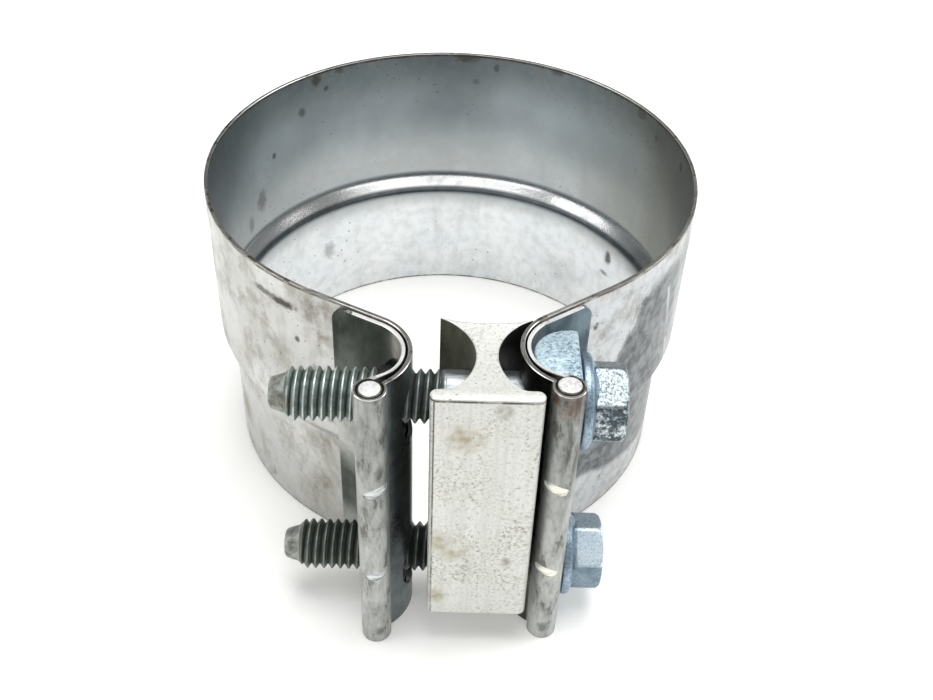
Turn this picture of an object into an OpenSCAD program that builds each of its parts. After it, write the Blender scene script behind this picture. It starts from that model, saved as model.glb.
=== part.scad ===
// Lap-joint pipe repair clamp: a split, stepped sheet band whose two ends are
// rolled into loops, drawn together by two bolts across a reaction block.
// Frame: origin on the pipe axis at the band's bottom edge, +Z up the axis,
// -Y towards the bolts, +X towards the bolt heads. Millimetres and degrees.

/* [Band] */
// Outer radius of the upper, larger ring
ring_large_r = 49.5; // [40:0.1:60]
// Outer radius of the lower, smaller ring
ring_small_r = 47.1; // [38:0.1:58]
// Sheet thickness
sheet = 0.75; // [0.5:0.05:1.5]
// Height of the band
band_h = 63.5; // [50:0.5:80]
// Height where the sloping step starts
step_lo = 26.7; // [15:0.1:35]
// Height where the sloping step ends
step_hi = 30.8; // [20:0.1:40]
// Width of the joint left between the two halves at the back
seam_gap = 0.36; // [0.1:0.02:1]

/* [Loops] */
// Distance of each loop centre from the middle plane
loop_x = 18.8; // [15:0.1:25]
// Position of the loop centres along Y
loop_y = -57.4; // [-65:0.1:-50]
// Outer radius of the loop
loop_r = 9.9; // [8:0.05:12]
// Radius of the returned inner layer at its outer face
lining_r = 8.4; // [7:0.05:9]
// Shift of the inner layer's centre towards the ring
lining_shift = 0.73; // [0.2:0.01:1]
// Distance of the tab end from the middle plane
tab_x = 22.6; // [19:0.1:25]
// Corner radius of the tab
tab_corner = 3; // [1:0.5:5]

/* [Curls and retaining pins] */
// Distance of each pin from the middle plane
pin_x = 15.9; // [13:0.1:20]
// Position of the pins along Y
pin_y = -66.9; // [-72:0.1:-60]
// Pin diameter
pin_d = 4; // [3:0.1:6]
// Radial gap between pin and curl
pin_gap = 0.02; // [0.01:0.01:0.1]
// Height of the left pin's top end
pin_left_top = 63.6; // [60:0.1:66]
// Height of the right pin's top end
pin_right_top = 63.9; // [60:0.1:66]
// Depth of the crimps pressed into the curls
crimp_depth = 0.3; // [0.1:0.05:0.5]
// Width of the crimps
crimp_w = 4.6; // [3:0.1:6]
// Heights of the crimps
crimp_z = [19.8, 41.7]; // [5:0.1:60]

/* [Bolts] */
// Heights of the two bolt axes, lower then upper
bolt_z = [12.35, 52.05]; // [5:0.05:60]
// Position of the bolt axes along Y, on the middle plane
bolt_y = -56.95; // [-65:0.05:-50]
// Turn of the bolts, block, spacer bar and nuts about the vertical
bolt_yaw = -3.3; // [-6:0.1:6]
// Thread diameter
bolt_d = 9.525; // [8:0.005:12]
// Thread pitch
pitch = 1.5875; // [1:0.0005:2]
// Thread root diameter
bolt_root_d = 7.8; // [7:0.05:9]
// Tip of the bolts
tip_x = -33.4; // [-45:0.1:-25]
// Length of the tapered dog point
dog_len = 3; // [1:0.1:5]
// Dog point diameter at the tip
dog_d1 = 5.6; // [4:0.1:7]
// Dog point diameter at its root
dog_d2 = 7.2; // [5:0.1:8]
// Number of thread turns
thread_n = 17; // [5:1:30]
// Bearing face of the flange
flange_x = 19.6; // [17:0.1:25]
// Flange diameter
flange_d = 16.8; // [14:0.1:20]
// Flange rim thickness
flange_t = 1.6; // [1:0.1:3]
// Length of the sloping top of the flange
flange_cone = 1.2; // [0.5:0.1:3]
// Hexagon width across flats
hex_af = 12.7; // [10:0.1:16]
// Outer end of the hexagon
hex_end = 27.3; // [25:0.1:35]
// Turn of the hexagons about the bolt axes, lower then upper
hex_turn = [6, -3]; // [-30:1:30]

/* [Spacer bar and nuts] */
// Radius of the half-round spacer bar
bar_r = 6.3; // [4.5:0.05:7]
// Centre of the bar's round face along the bolts
bar_x = 17.5; // [15:0.05:20]
// Centre of the bar's round face behind the bolt axes
bar_y = 0.35; // [-1:0.05:1]
// Flat face of the bar along the bolts
bar_flat = 18.95; // [16:0.05:20]
// Lower and upper end of the bar
bar_z = [1.6, 62.2]; // [0:0.1:65]
// Bore for the bolts in the bar and the block
clear_bore = 9.7; // [9.6:0.01:11]
// Bore of the nuts over the thread
nut_bore = 9.62; // [9.55:0.01:9.8]
// Radius of the nut's saddle back
nut_r = 7.1; // [6:0.05:7.6]
// Flat face of the nuts along the bolts
nut_flat = 14.8; // [14:0.1:17]
// Diameter of the nuts
nut_d = 11.4; // [10.4:0.1:14]

/* [Reaction block] */
// Middle of the block along the bolts
block_x = 3.4; // [0:0.1:5]
// Lower and upper end of the block
block_z = [8.6, 63.4]; // [0:0.1:65]
// Width of the front flange
block_w = 18.4; // [14:0.1:22]
// Front face of the block from the bolt axes
block_front = -12.75; // [-16:0.05:-8]
// Front flange thickness
block_flange_t = 2.6; // [1.5:0.1:4]
// Back tips of the block from the bolt axes
block_back = 7.5; // [4:0.05:12]
// Width over the back tips
block_back_w = 15.9; // [10:0.1:18]
// Thinnest part of the web
block_web = 3.72; // [2:0.02:6]
// Radius of the hollow sides
block_side_r = 10.2; // [8:0.1:14]
// Middle of the hollow sides from the bolt axes
block_side_y = -2; // [-4:0.1:2]
// Radius of the hollow back
block_back_r = 32; // [10:0.5:49]

/* [View] */
// Sub-part to draw

/* [Hidden] */
$fn = 96;
eps = 0.01;
inset = 0.03;
tab_s = [1, 0.55, 0.2, 0.04, 0];
loop_in = loop_r - sheet;
loop_far = norm([loop_x, loop_y]);
loop_dir = atan2(loop_y, -loop_x) + 360;
lining_in = lining_r - sheet;
lining_c = [-loop_x + lining_shift * cos(58), loop_y + lining_shift * sin(58)];
curl_in = pin_d / 2 + pin_gap;
curl_r = curl_in + sheet;
curl_end = atan2(pin_y - lining_c[1], -pin_x - lining_c[0]) + 180;
neck = 25.6;
slot_w = 12;
slot_h = 13.6;
steel = [0.72, 0.74, 0.76];
zinc = [0.66, 0.72, 0.78];

// Angle where the ring gives way to the straight run, for an outer radius r
function leave(r) = loop_dir - acos((r + loop_in) / loop_far);
function dir(a) = [cos(a), sin(a)];
function mix(p, q, t) = p + (q - p) * t;
function up(p, z) = [p[0], p[1], z];

// Fan-shaped area from angle a to angle b
module fan(a, b, r = 90) {
    n = ceil((b - a) / 30);
    polygon(concat([[0, 0]], [for (i = [0:n]) r * dir(a + (b - a) * i / n)]));
}

// Ring section of sheet from angle a to angle b
module arc(r_out, r_in, a, b) {
    intersection() {
        difference() {
            circle(r = r_out);
            circle(r = r_in);
        }
        fan(a, b, r_out * 1.3);
    }
}

// Stepped ring of the left half, from the back seam to the straight run
module ring_part() {
    difference() {
        rotate([0, 0, 90]) rotate_extrude(angle = leave(ring_small_r) - 90)
            polygon([[ring_small_r - sheet, 0], [ring_small_r, 0], [ring_small_r, step_lo],
                     [ring_large_r, step_hi], [ring_large_r, band_h],
                     [ring_large_r - sheet, band_h], [ring_large_r - sheet, step_hi],
                     [ring_small_r - sheet, step_lo]]);
        translate([-seam_gap / 2, 0, -1]) cube([1, ring_large_r + 1, band_h + 2]);
    }
}

// Loop wall, curl round the pin and returned inner layer
module loop_outline(top) {
    translate([-loop_x, loop_y]) arc(loop_r, loop_in, -57.5, top);
    translate(lining_c) arc(lining_r, lining_in, curl_end - 180, top);
    translate([-pin_x, pin_y]) arc(curl_r, curl_in, curl_end, neck + 360);
}

// Plan points of the straight run, d into the sheet, above the step
function run_up(d) = let (a = leave(ring_small_r), b = leave(ring_large_r), r = ring_large_r - d,
    c = [-loop_x, loop_y], k = loop_in + d) concat(
    [r * dir(a - 0.8)], [for (i = [0:3]) r * dir(a + (b - a) * i / 3)],
    [for (i = [1:3]) mix(r * dir(b), c - k * dir(b), i / 3)],
    [for (i = [1:3]) c - k * dir(b + (a - b) * i / 3)], [c - k * dir(a - 4)]);

// The same below the step
function run_low(d) = let (a = leave(ring_small_r), r = ring_small_r - d,
    c = [-loop_x, loop_y], k = loop_in + d) concat([r * dir(a - 0.8)],
    [for (i = [0:9]) mix(r * dir(a), c - k * dir(a), i / 9)], [c - k * dir(a - 4)]);

// Plan points of the tab's last stretch along the run of ring r
function tab_end(r, k) = let (b = leave(r), h = [-sin(b), cos(b)], q = lining_c - k * dir(b),
    full = (q[0] + tab_x) / h[0]) [for (s = tab_s) q - (full - s * tab_corner) * h];

// Plan points of the tab above the step, k from the inner layer's centre
function tab_up(k) = let (a = leave(ring_small_r), b = leave(ring_large_r)) concat(
    [lining_c - k * dir(a - 4)], [for (i = [0:2]) lining_c - k * dir(a + (b - a) * i / 2)],
    tab_end(ring_large_r, k));

// The same below the step
function tab_low(k) = let (a = leave(ring_small_r), h = [-sin(a), cos(a)]) concat(
    [lining_c - k * dir(a - 4)], [for (i = [0:2]) lining_c - k * dir(a) - 0.53 * i * h],
    tab_end(ring_small_r, k));

// Sheet ribbon between skins a and b, low and up, from heights zb to zt
module ribbon(a_low, b_low, a_up, b_up, zb, zt) {
    n = len(zb);
    zs = [zb, [for (z = zb) step_lo], [for (z = zb) step_hi], zt];
    rows = [a_low, b_low, a_low, b_low, a_up, b_up, a_up, b_up];
    pts = [for (k = [0:7]) for (i = [0:n - 1]) up(rows[k][i], zs[floor(k / 2)][i])];
    side = function (p, q, i) [[p * n + i, q * n + i, q * n + i + 1],
                               [p * n + i, q * n + i + 1, p * n + i + 1]];
    polyhedron(points = pts, faces = concat(
        [for (i = [0:n - 2]) each side(1, 0, i)], [for (i = [0:n - 2]) each side(6, 7, i)],
        [for (k = [0:2:4]) for (i = [0:n - 2]) each side(k, k + 2, i)],
        [for (k = [1:2:5]) for (i = [0:n - 2]) each side(k + 2, k, i)],
        [for (k = [0:2:4]) [k * n, (k + 1) * n, (k + 3) * n, (k + 2) * n]],
        [for (k = [1:2:5]) [k * n - 1, (k + 2) * n - 1, (k + 3) * n - 1, (k + 1) * n - 1]]));
}

// Straight run with its transition across the step
module run_part() {
    zb = [for (i = [0:11]) inset];
    ribbon(run_low(inset), run_low(sheet - inset), run_up(inset), run_up(sheet - inset),
           zb, [for (z = zb) band_h - z]);
}

// Tab lying on the outer face of the run, with rounded corners
module tab_part() {
    drop = [for (s = tab_s) tab_corner * (1 - sqrt(1 - pow(1 - s, 2)))];
    zb = concat([0, 0, 0, 0], drop) + [for (i = [0:8]) 0.6];
    ribbon(tab_low(lining_r - inset), tab_low(lining_in + inset),
           tab_up(lining_r - inset), tab_up(lining_in + inset), zb, [for (z = zb) band_h - z]);
}

// Long hole through the loop for one bolt
module bolt_slot(z) {
    translate([-25, bolt_y, z]) rotate([90, 0, 90]) linear_extrude(20) {
        square([slot_w, slot_h - slot_w], center = true);
        for (s = [-1, 1]) translate([0, s * (slot_h - slot_w) / 2]) circle(d = slot_w);
    }
}

// Left half of the band
module half_band() {
    difference() {
        union() {
            ring_part();
            linear_extrude(band_h) loop_outline(leave(ring_small_r) - 180);
            run_part();
            tab_part();
        }
        for (z = bolt_z) bolt_slot(z);
        for (z = crimp_z) translate([-pin_x, pin_y - curl_r, z]) rotate([0, 90, 0])
            linear_extrude(crimp_w, center = true)
                polygon([[-0.55, -eps], [0.55, -eps], [0, crimp_depth]]);
    }
}

module band_left() {
    color(steel) half_band();
}

module band_right() {
    color(steel) mirror([1, 0, 0]) half_band();
}

// Pin with chamfered ends standing on the band's bottom plane
module pin(x, top) {
    c = 0.4;
    translate([x, pin_y, 0]) {
        cylinder(d1 = pin_d - 2 * c, d2 = pin_d, h = c);
        translate([0, 0, c]) cylinder(d = pin_d, h = top - 2 * c);
        translate([0, 0, top - c]) cylinder(d1 = pin_d, d2 = pin_d - 2 * c, h = c);
    }
}

module retaining_pin_left() {
    color([0.85, 0.85, 0.84]) pin(-pin_x, pin_left_top);
}

module retaining_pin_right() {
    color([0.85, 0.85, 0.84]) pin(pin_x, pin_right_top);
}

// Cross-section of the reaction block
module block_outline() {
    r = block_flange_t / 2;
    difference() {
        union() {
            translate([-block_w / 2 + r, block_front]) square([block_w - 2 * r, block_flange_t]);
            for (s = [-1, 1]) translate([s * (block_w / 2 - r), block_front + r]) circle(r = r);
            translate([-block_back_w / 2, block_front + r])
                square([block_back_w, block_back - block_front - r]);
        }
        for (s = [-1, 1])
            translate([s * (block_web / 2 + block_side_r), block_side_y]) circle(r = block_side_r);
        translate([0, block_back + sqrt(pow(block_back_r, 2) - pow(block_back_w / 2, 2))])
            circle(r = block_back_r);
    }
}

// Places children given along the bolts, with Y counted from their axes
module on_bolts() {
    translate([0, bolt_y, 0]) rotate([0, 0, bolt_yaw]) children();
}

// Holes of diameter d around both bolt axes
module bores(x, d, len) {
    for (z = bolt_z) translate([x, 0, z]) rotate([0, 90, 0]) cylinder(d = d, h = len);
}

module reaction_block() {
    color([0.87, 0.86, 0.82]) on_bolts() difference() {
        translate([block_x, 0, block_z[0]]) linear_extrude(block_z[1] - block_z[0]) block_outline();
        bores(block_x - 12, clear_bore, 24);
    }
}

module spacer_bar() {
    color([0.7, 0.78, 0.85]) on_bolts() difference() {
        translate([0, 0, bar_z[0]]) linear_extrude(bar_z[1] - bar_z[0]) intersection() {
            translate([bar_x, bar_y]) circle(r = bar_r);
            translate([0, -10]) square([bar_flat, 20]);
        }
        bores(5, clear_bore, 20);
    }
}

// Bolt along X with ring grooves for the thread and a flanged hexagon head
module bolt(z, turn) {
    r = bolt_d / 2;
    rr = bolt_root_d / 2;
    x0 = tip_x + dog_len;
    w = pitch / 16;
    crests = [for (i = [0:thread_n - 1]) each
        [[rr, x0 + i * pitch + w], [r, x0 + (i + 0.5) * pitch - w],
         [r, x0 + (i + 0.5) * pitch + w], [rr, x0 + (i + 1) * pitch - w]]];
    x1 = x0 + thread_n * pitch;
    on_bolts() translate([0, 0, z]) rotate([0, 90, 0]) {
        rotate_extrude() polygon(concat(
            [[0, tip_x], [dog_d1 / 2, tip_x], [dog_d2 / 2, x0]], crests,
            [[rr, x1], [r, x1 + 0.8], [r, flange_x], [flange_d / 2 - 0.3, flange_x],
             [flange_d / 2, flange_x + 0.3], [flange_d / 2, flange_x + flange_t],
             [hex_af / 2 - 0.2, flange_x + flange_t + flange_cone],
             [0, flange_x + flange_t + flange_cone]]));
        rotate([0, 0, turn]) intersection() {
            translate([0, 0, flange_x + flange_t])
                cylinder(d = hex_af / cos(30), h = hex_end - flange_x - flange_t, $fn = 6);
            translate([0, 0, flange_x]) rotate_extrude() polygon([[0, 0], [8, 0],
                [8, hex_end - flange_x - 1], [6.1, hex_end - flange_x], [0, hex_end - flange_x]]);
        }
    }
}

module bolt_upper() {
    color(zinc) bolt(bolt_z[1], hex_turn[1]);
}

module bolt_lower() {
    color(zinc) bolt(bolt_z[0], hex_turn[0]);
}

// Round nut in the left loop, its back following the loop
module nut(z) {
    difference() {
        intersection() {
            on_bolts() translate([-nut_flat, 0, z]) rotate([0, 90, 0]) cylinder(d = nut_d, h = 8);
            translate(up(lining_c, z - nut_d / 2 - 1)) cylinder(r = nut_r, h = nut_d + 2);
        }
        on_bolts() translate([-25, 0, z]) rotate([0, 90, 0]) cylinder(d = nut_bore, h = 20);
    }
}

module nut_upper() {
    color([0.35, 0.36, 0.37]) nut(bolt_z[1]);
}

module nut_lower() {
    color([0.35, 0.36, 0.37]) nut(bolt_z[0]);
}

band_left();
band_right();
retaining_pin_left();
retaining_pin_right();
reaction_block();
spacer_bar();
bolt_upper();
bolt_lower();
nut_upper();
nut_lower();
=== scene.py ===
import bmesh
import bpy
from math import acos, asin, atan2, cos, degrees, dist, hypot, pi, radians, sin, sqrt
from mathutils import Matrix, Vector


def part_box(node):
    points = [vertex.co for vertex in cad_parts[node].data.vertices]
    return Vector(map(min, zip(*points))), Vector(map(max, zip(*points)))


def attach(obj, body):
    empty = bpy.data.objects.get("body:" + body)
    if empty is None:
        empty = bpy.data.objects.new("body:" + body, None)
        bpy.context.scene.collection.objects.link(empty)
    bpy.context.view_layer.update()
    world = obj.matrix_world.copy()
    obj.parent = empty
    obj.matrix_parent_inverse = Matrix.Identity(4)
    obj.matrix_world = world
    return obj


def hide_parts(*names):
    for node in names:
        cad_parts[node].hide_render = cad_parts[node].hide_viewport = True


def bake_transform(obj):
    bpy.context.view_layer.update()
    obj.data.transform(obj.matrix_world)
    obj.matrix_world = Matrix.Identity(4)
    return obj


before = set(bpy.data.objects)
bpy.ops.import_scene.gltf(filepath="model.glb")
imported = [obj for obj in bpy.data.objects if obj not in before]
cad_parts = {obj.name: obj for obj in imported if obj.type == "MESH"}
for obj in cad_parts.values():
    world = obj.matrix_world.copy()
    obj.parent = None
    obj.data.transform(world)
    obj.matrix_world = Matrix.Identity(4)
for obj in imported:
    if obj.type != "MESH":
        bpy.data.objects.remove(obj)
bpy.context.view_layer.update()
MM = 0.001


def heights(node):
    """Lowest and highest Z of a CAD node, in mm."""
    low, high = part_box(node)
    return low.z / MM, high.z / MM


# -------- measures, mm and degrees
RING_LARGE_R, RING_SMALL_R, SHEET = 49.5, 47.1, 0.75
BAND_H = heights("band_left")[1]
STEP_LOW, STEP_HIGH = 26.5, 31.0
LOOP, LOOP_R = (-18.8, -57.4), 9.9
LINING_R, LINING_SHIFT, LINING_TURN = 8.4, 0.73, radians(58)
LINING = (LOOP[0] + LINING_SHIFT * cos(LINING_TURN), LOOP[1] + LINING_SHIFT * sin(LINING_TURN))
PIN, PIN_R, CURL_R = (-15.9, -66.9), 2.0, 2.77
TAB_X, TAB_CORNER, TAB_INSET = 22.6, 3, 0.6
NICK_Z = (19.8, 41.7)
BOLT_Y, BOLT_Z, BOLT_YAW = -56.95, (12.35, 52.05), radians(-3.3)
BOLT_R, ROOT_R, PITCH = 4.7625, 3.85, 1.5875
SPACER_BORE_R, HOLE_R, HOLE_EXTRA_H = 4.85, 6.25, 0.8
BLOCK_X, BLOCK_Z = 3.4, heights("reaction_block")
BAR_Z = heights("spacer_bar")
RIM = 0.1
# Rows of the band's vertices by height, closer together at the step and the rims
BAND_ROWS = (0, 0.12, 0.6, 2, 5, 9, 13.6, 18, 22, 25, 26.3, 26.65, 27, 27.4, 28.1, 28.8, 29.5, 30.1, 30.5,
             30.85, 31.2, 33, 37, 41, 45, 49, 53.2, 57, 60, 61.8, 62.9, BAND_H - 0.12, BAND_H)
# Places of the points along a loop's flat tab, as parts of its length
TAB_POINTS = (0.15, 0.3, 0.45, 0.58, 0.68, 0.78, 0.86, 0.92, 0.96, 0.985, 1)


def polar(centre, radius, angle):
    turn = radians(angle)
    return (centre[0] + radius * cos(turn), centre[1] + radius * sin(turn))


def span(first, last, count):
    """Evenly spaced values from first to last."""
    return [first + (last - first) * i / (count - 1) for i in range(count)]


def arc(centre, radius, first, last, count):
    return [polar(centre, radius, angle) for angle in span(first, last, count)]


def clamped(t):
    return min(1.0, max(0.0, t))


def smooth(t):
    t = clamped(t)
    return t * t * (3 - 2 * t)


def outer_radius(z):
    """Outer radius of the ring at height z; both bends of the step are rounded."""
    bend = 0.2
    slope = 1 / (1 - bend)
    t = clamped((z - STEP_LOW) / (STEP_HIGH - STEP_LOW))
    if t < bend:
        t = t * t * slope / (2 * bend)
    elif t > 1 - bend:
        t = 1 - (1 - t) ** 2 * slope / (2 * bend)
    else:
        t = (t - bend / 2) * slope
    return RING_SMALL_R + (RING_LARGE_R - RING_SMALL_R) * t


def new_object(name, verts, faces):
    """Mesh object from vertices in mm, with doubles merged and faces turned outwards."""
    mesh = bpy.data.meshes.new(name)
    mesh.from_pydata([(x * MM, y * MM, z * MM) for x, y, z in verts], [], faces)
    mesh.validate()
    bm = bmesh.new()
    bm.from_mesh(mesh)
    bmesh.ops.remove_doubles(bm, verts=bm.verts, dist=1e-7)
    bmesh.ops.recalc_face_normals(bm, faces=bm.faces)
    bm.to_mesh(mesh)
    bm.free()
    obj = bpy.data.objects.new(name, mesh)
    bpy.context.collection.objects.link(obj)
    return obj


def skin(rings, n):
    """Faces of a closed tube made of rings of n vertices, with flat ends."""
    faces = [(j * n + k, j * n + (k + 1) % n, (j + 1) * n + (k + 1) % n, (j + 1) * n + k)
             for j in range(rings - 1) for k in range(n)]
    last = (rings - 1) * n
    return faces + [tuple(range(n - 1, -1, -1)), tuple(range(last, last + n))]


def on_bolts(obj):
    """Moves a piece made along the bolts, with Y counted from their axes, into the part's frame."""
    obj.data.transform(Matrix.Translation((0, BOLT_Y * MM, 0)) @ Matrix.Rotation(BOLT_YAW, 4, "Z"))
    return obj


def soften(obj, angle):
    """Smooth shading with edges sharper than the angle kept sharp."""
    obj.data.shade_smooth()
    obj.data.set_sharp_from_angle(angle=radians(angle))


def cut(obj, cutters):
    """Takes the cutters away from obj for good."""
    for cutter in cutters:
        modifier = obj.modifiers.new("cut", "BOOLEAN")
        modifier.operation, modifier.solver, modifier.object = "DIFFERENCE", "EXACT", cutter
    bpy.context.view_layer.update()
    made = bpy.data.meshes.new_from_object(obj.evaluated_get(bpy.context.evaluated_depsgraph_get()))
    obj.modifiers.clear()
    obj.data = made
    for cutter in cutters:
        bpy.data.objects.remove(cutter)


def stand_for(piece, body, node):
    """Makes the piece move with a body in the place of a CAD node."""
    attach(piece, body)
    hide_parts(node)


# -------- band
def leave(radius):
    """Angle where the ring of this outer radius gives way to the straight run."""
    to_loop = degrees(atan2(LOOP[1], LOOP[0])) + 360
    return to_loop - degrees(acos((radius + LOOP_R - SHEET) / hypot(*LOOP)))


def meet(c1, r1, c2, r2):
    """Where two circles cross, the crossing with the larger x."""
    dx, dy = c2[0] - c1[0], c2[1] - c1[1]
    apart = hypot(dx, dy)
    along = (apart * apart + r1 * r1 - r2 * r2) / (2 * apart)
    aside = sqrt(r1 * r1 - along * along)
    px, py = c1[0] + along * dx / apart, c1[1] + along * dy / apart
    return max((px + aside * dy / apart, py - aside * dx / apart),
               (px - aside * dy / apart, py + aside * dx / apart))


def angle_of(centre, point):
    return degrees(atan2(point[1] - centre[1], point[0] - centre[0]))


def half_path(radius):
    """Middle line of the left half in plan, from the back seam to the tab's end."""
    ring, loop, curl, lining = (r - SHEET / 2 for r in (radius, LOOP_R, CURL_R, LINING_R))
    away = leave(radius)
    path = arc((0, 0), ring, 90, away, 91)
    path[0] = (0.0, ring)
    (x0, y0), (x1, y1) = path[-1], polar(LOOP, loop, away - 180)
    path += [(x0 + (x1 - x0) * t, y0 + (y1 - y0) * t) for t in span(0, 1, 12)[1:]]
    neck_r = 0.62
    neck = meet(LOOP, loop + neck_r, PIN, curl + neck_r)
    loop_end = angle_of(LOOP, neck)
    path += arc(LOOP, loop, away - 180, loop_end, 34)[1:]
    neck_start, neck_end = loop_end + 180, angle_of(PIN, neck) + 180
    if neck_end <= neck_start:
        neck_end += 360
    path += arc(neck, neck_r, neck_start, neck_end, 8)[1:]
    lining_start = angle_of(LINING, PIN)
    path += arc(PIN, curl, angle_of(PIN, neck), lining_start + 180 - 360, 42)[1:]
    path += arc(LINING, lining, lining_start, away - 180, 34)[1:]
    along = (-sin(radians(away)), cos(radians(away)))
    x, y = path[-1]
    length = (x + TAB_X) / along[0]
    path += [(x - s * length * along[0], y - s * length * along[1]) for s in TAB_POINTS]
    return path


def normals_of(path, closed=False):
    """Unit normal of a plan line at each of its points."""
    out = []
    n = len(path)
    for i in range(n):
        before = path[i - 1] if i or closed else path[0]
        after = path[(i + 1) % n] if i < n - 1 or closed else path[-1]
        dx, dy = after[0] - before[0], after[1] - before[1]
        length = hypot(dx, dy) or 1
        out.append((dy / length, -dx / length))
    return out


def on_lining(point, z):
    """True on the inner layer of a loop and its tab, for a plan point of the left half."""
    away = radians(leave(RING_LARGE_R if z > STEP_HIGH else RING_SMALL_R))
    dx, dy = point[0] - LINING[0], point[1] - LINING[1]
    along = dy * cos(away) - dx * sin(away)
    out = hypot(dx, dy) if along > 0 else -(dx * cos(away) + dy * sin(away))
    return LINING_R - SHEET - 0.1 < out < LINING_R - 0.1 and point[0] > -TAB_X - 0.2


def tab_lifts(path, count):
    """How far the rims draw in at the first points of the path: the tab's rounded corner and its slope."""
    lifts = []
    for i in range(count):
        corner = max(0.0, 1 - dist(path[i], path[0]) / TAB_CORNER)
        drop = TAB_CORNER * (1 - sqrt(1 - corner ** 2))
        lifts.append(drop + TAB_INSET * smooth((1 - i / (count - 1)) * 3))
    return lifts


def band_verts(rows):
    """Outer and inner vertices of each row, a row being its height, plan line and normals."""
    lifts = tab_lifts(rows[-1][1], 45)
    n = len(rows[0][1])
    lifts += [0] * (n - 2 * len(lifts)) + lifts[::-1]
    verts = []
    for z, path, normals in rows:
        rim = RIM if z in (0, BAND_H) else 0
        for side in (1, -1):
            for i, ((x, y), (nx, ny), lift) in enumerate(zip(path, normals, lifts)):
                low, high = lift + min(z, 0.12), BAND_H - lift - min(BAND_H - z, 0.12)
                end = RIM if i in (0, n - 1) else 0
                out = side * (SHEET / 2 - rim - end)
                verts.append((x + out * nx, y + out * ny, min(max(z, low), high)))
    return verts


def band_faces(n, last):
    """Faces of the sheet: n points along each row, last the highest row's number."""
    def at(j, side, i):
        return (2 * j + side) * n + i

    faces = []
    for j in range(last):
        for i in range(n - 1):
            faces.append((at(j, 0, i), at(j, 0, i + 1), at(j + 1, 0, i + 1), at(j + 1, 0, i)))
            faces.append((at(j, 1, i), at(j + 1, 1, i), at(j + 1, 1, i + 1), at(j, 1, i + 1)))
        for i in (0, n - 1):
            faces.append((at(j, 0, i), at(j, 1, i), at(j + 1, 1, i), at(j + 1, 0, i)))
    for i in range(n - 1):
        faces.append((at(0, 0, i), at(0, 1, i), at(0, 1, i + 1), at(0, 0, i + 1)))
        faces.append((at(last, 0, i), at(last, 0, i + 1), at(last, 1, i + 1), at(last, 1, i)))
    return faces


def hole_cutters(seg=48):
    """Upright slots through both layers of both loops, one for each bolt."""
    cutters = []
    for z in BOLT_Z:
        for x0, x1 in ((-22, -6.5), (6.5, 22)):
            ring = []
            for k in range(seg):
                t = 2 * pi * k / seg
                up = HOLE_EXTRA_H if sin(t) > 0 else -HOLE_EXTRA_H
                ring.append((BOLT_Y + HOLE_R * cos(t), z + up + HOLE_R * sin(t)))
            verts = [(x, y, height) for x in (x0, x1) for y, height in ring]
            cutters.append(new_object("cutter", verts, skin(2, seg)))
    return cutters


def nick_cutters(rings=15, seg=10):
    """Slanted leaf shapes along the curls, two on each."""
    first, last, depth, half_w, slant = -40, 74, 0.24, 1.15, 1.0
    middle, half = (first + last) / 2, (last - first) / 2
    cutters = []
    for side in (-1, 1):
        for z in NICK_Z:
            verts = []
            for angle in span(first, last, rings):
                full = sqrt(max(0.0, 1 - ((angle - middle) / half) ** 2)) + 0.02
                around = radians(angle)
                for k in range(seg):
                    t = 2 * pi * k / seg
                    radius = CURL_R + depth * full * cos(t) - 0.06
                    x, y = PIN[0] + radius * sin(around), PIN[1] - radius * cos(around)
                    rise = slant * sin(around) + half_w * full * sin(t)
                    verts.append((side * x, y, z + rise))
            cutters.append(new_object("cutter", verts, skin(rings, seg)))
    return cutters


def mark_band(band):
    """Material 1 in the nicks, 2 on the loops' linings."""
    for poly in band.data.polygons:
        centre = poly.center / MM
        point = (-abs(centre.x), centre.y)
        from_pin = dist(point, PIN)
        by_nick = min(abs(centre.z - z) for z in NICK_Z) < 2.2
        if by_nick and point[1] < PIN[1] - 0.4 and PIN_R + 0.1 < from_pin < CURL_R - 0.04:
            poly.material_index = 1
        elif from_pin > CURL_R + 0.3 and on_lining(point, centre.z):
            poly.material_index = 2


def make_band():
    rows = []
    for z in BAND_ROWS:
        half = half_path(outer_radius(z))
        path = half[::-1] + [(-x, y) for x, y in half[1:]]
        rows.append((z, path, normals_of(path)))
    band = new_object("band", band_verts(rows), band_faces(len(rows[0][1]), len(rows) - 1))
    cut(band, hole_cutters() + nick_cutters())
    mark_band(band)
    soften(band, 38)
    place = band.data.attributes.new("place", "FLOAT_VECTOR", "POINT")
    place.data.foreach_set("vector", [c for v in band.data.vertices for c in v.co])
    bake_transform(band)
    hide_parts("band_left", "band_right")
    return band


# -------- turned and extruded pieces
def lathe(name, profile, axis, centre, seg):
    """Solid of revolution; profile is (position along the axis, radius)."""
    verts, faces = [], []
    n = len(profile)
    for k in range(seg):
        t = 2 * pi * k / seg
        for along, radius in profile:
            c, s = radius * cos(t), radius * sin(t)
            point = {"x": (along, c, s), "z": (c, s, along)}[axis]
            verts.append(tuple(p + q for p, q in zip(point, centre)))
        q = (k + 1) % seg
        faces += [(k * n + i, q * n + i, q * n + i + 1, k * n + i + 1) for i in range(n - 1)]
    if profile[0][1] > 0:
        faces.append(tuple(k * n for k in range(seg)))
    if profile[-1][1] > 0:
        faces.append(tuple(k * n + n - 1 for k in reversed(range(seg))))
    return new_object(name, verts, faces)


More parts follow.
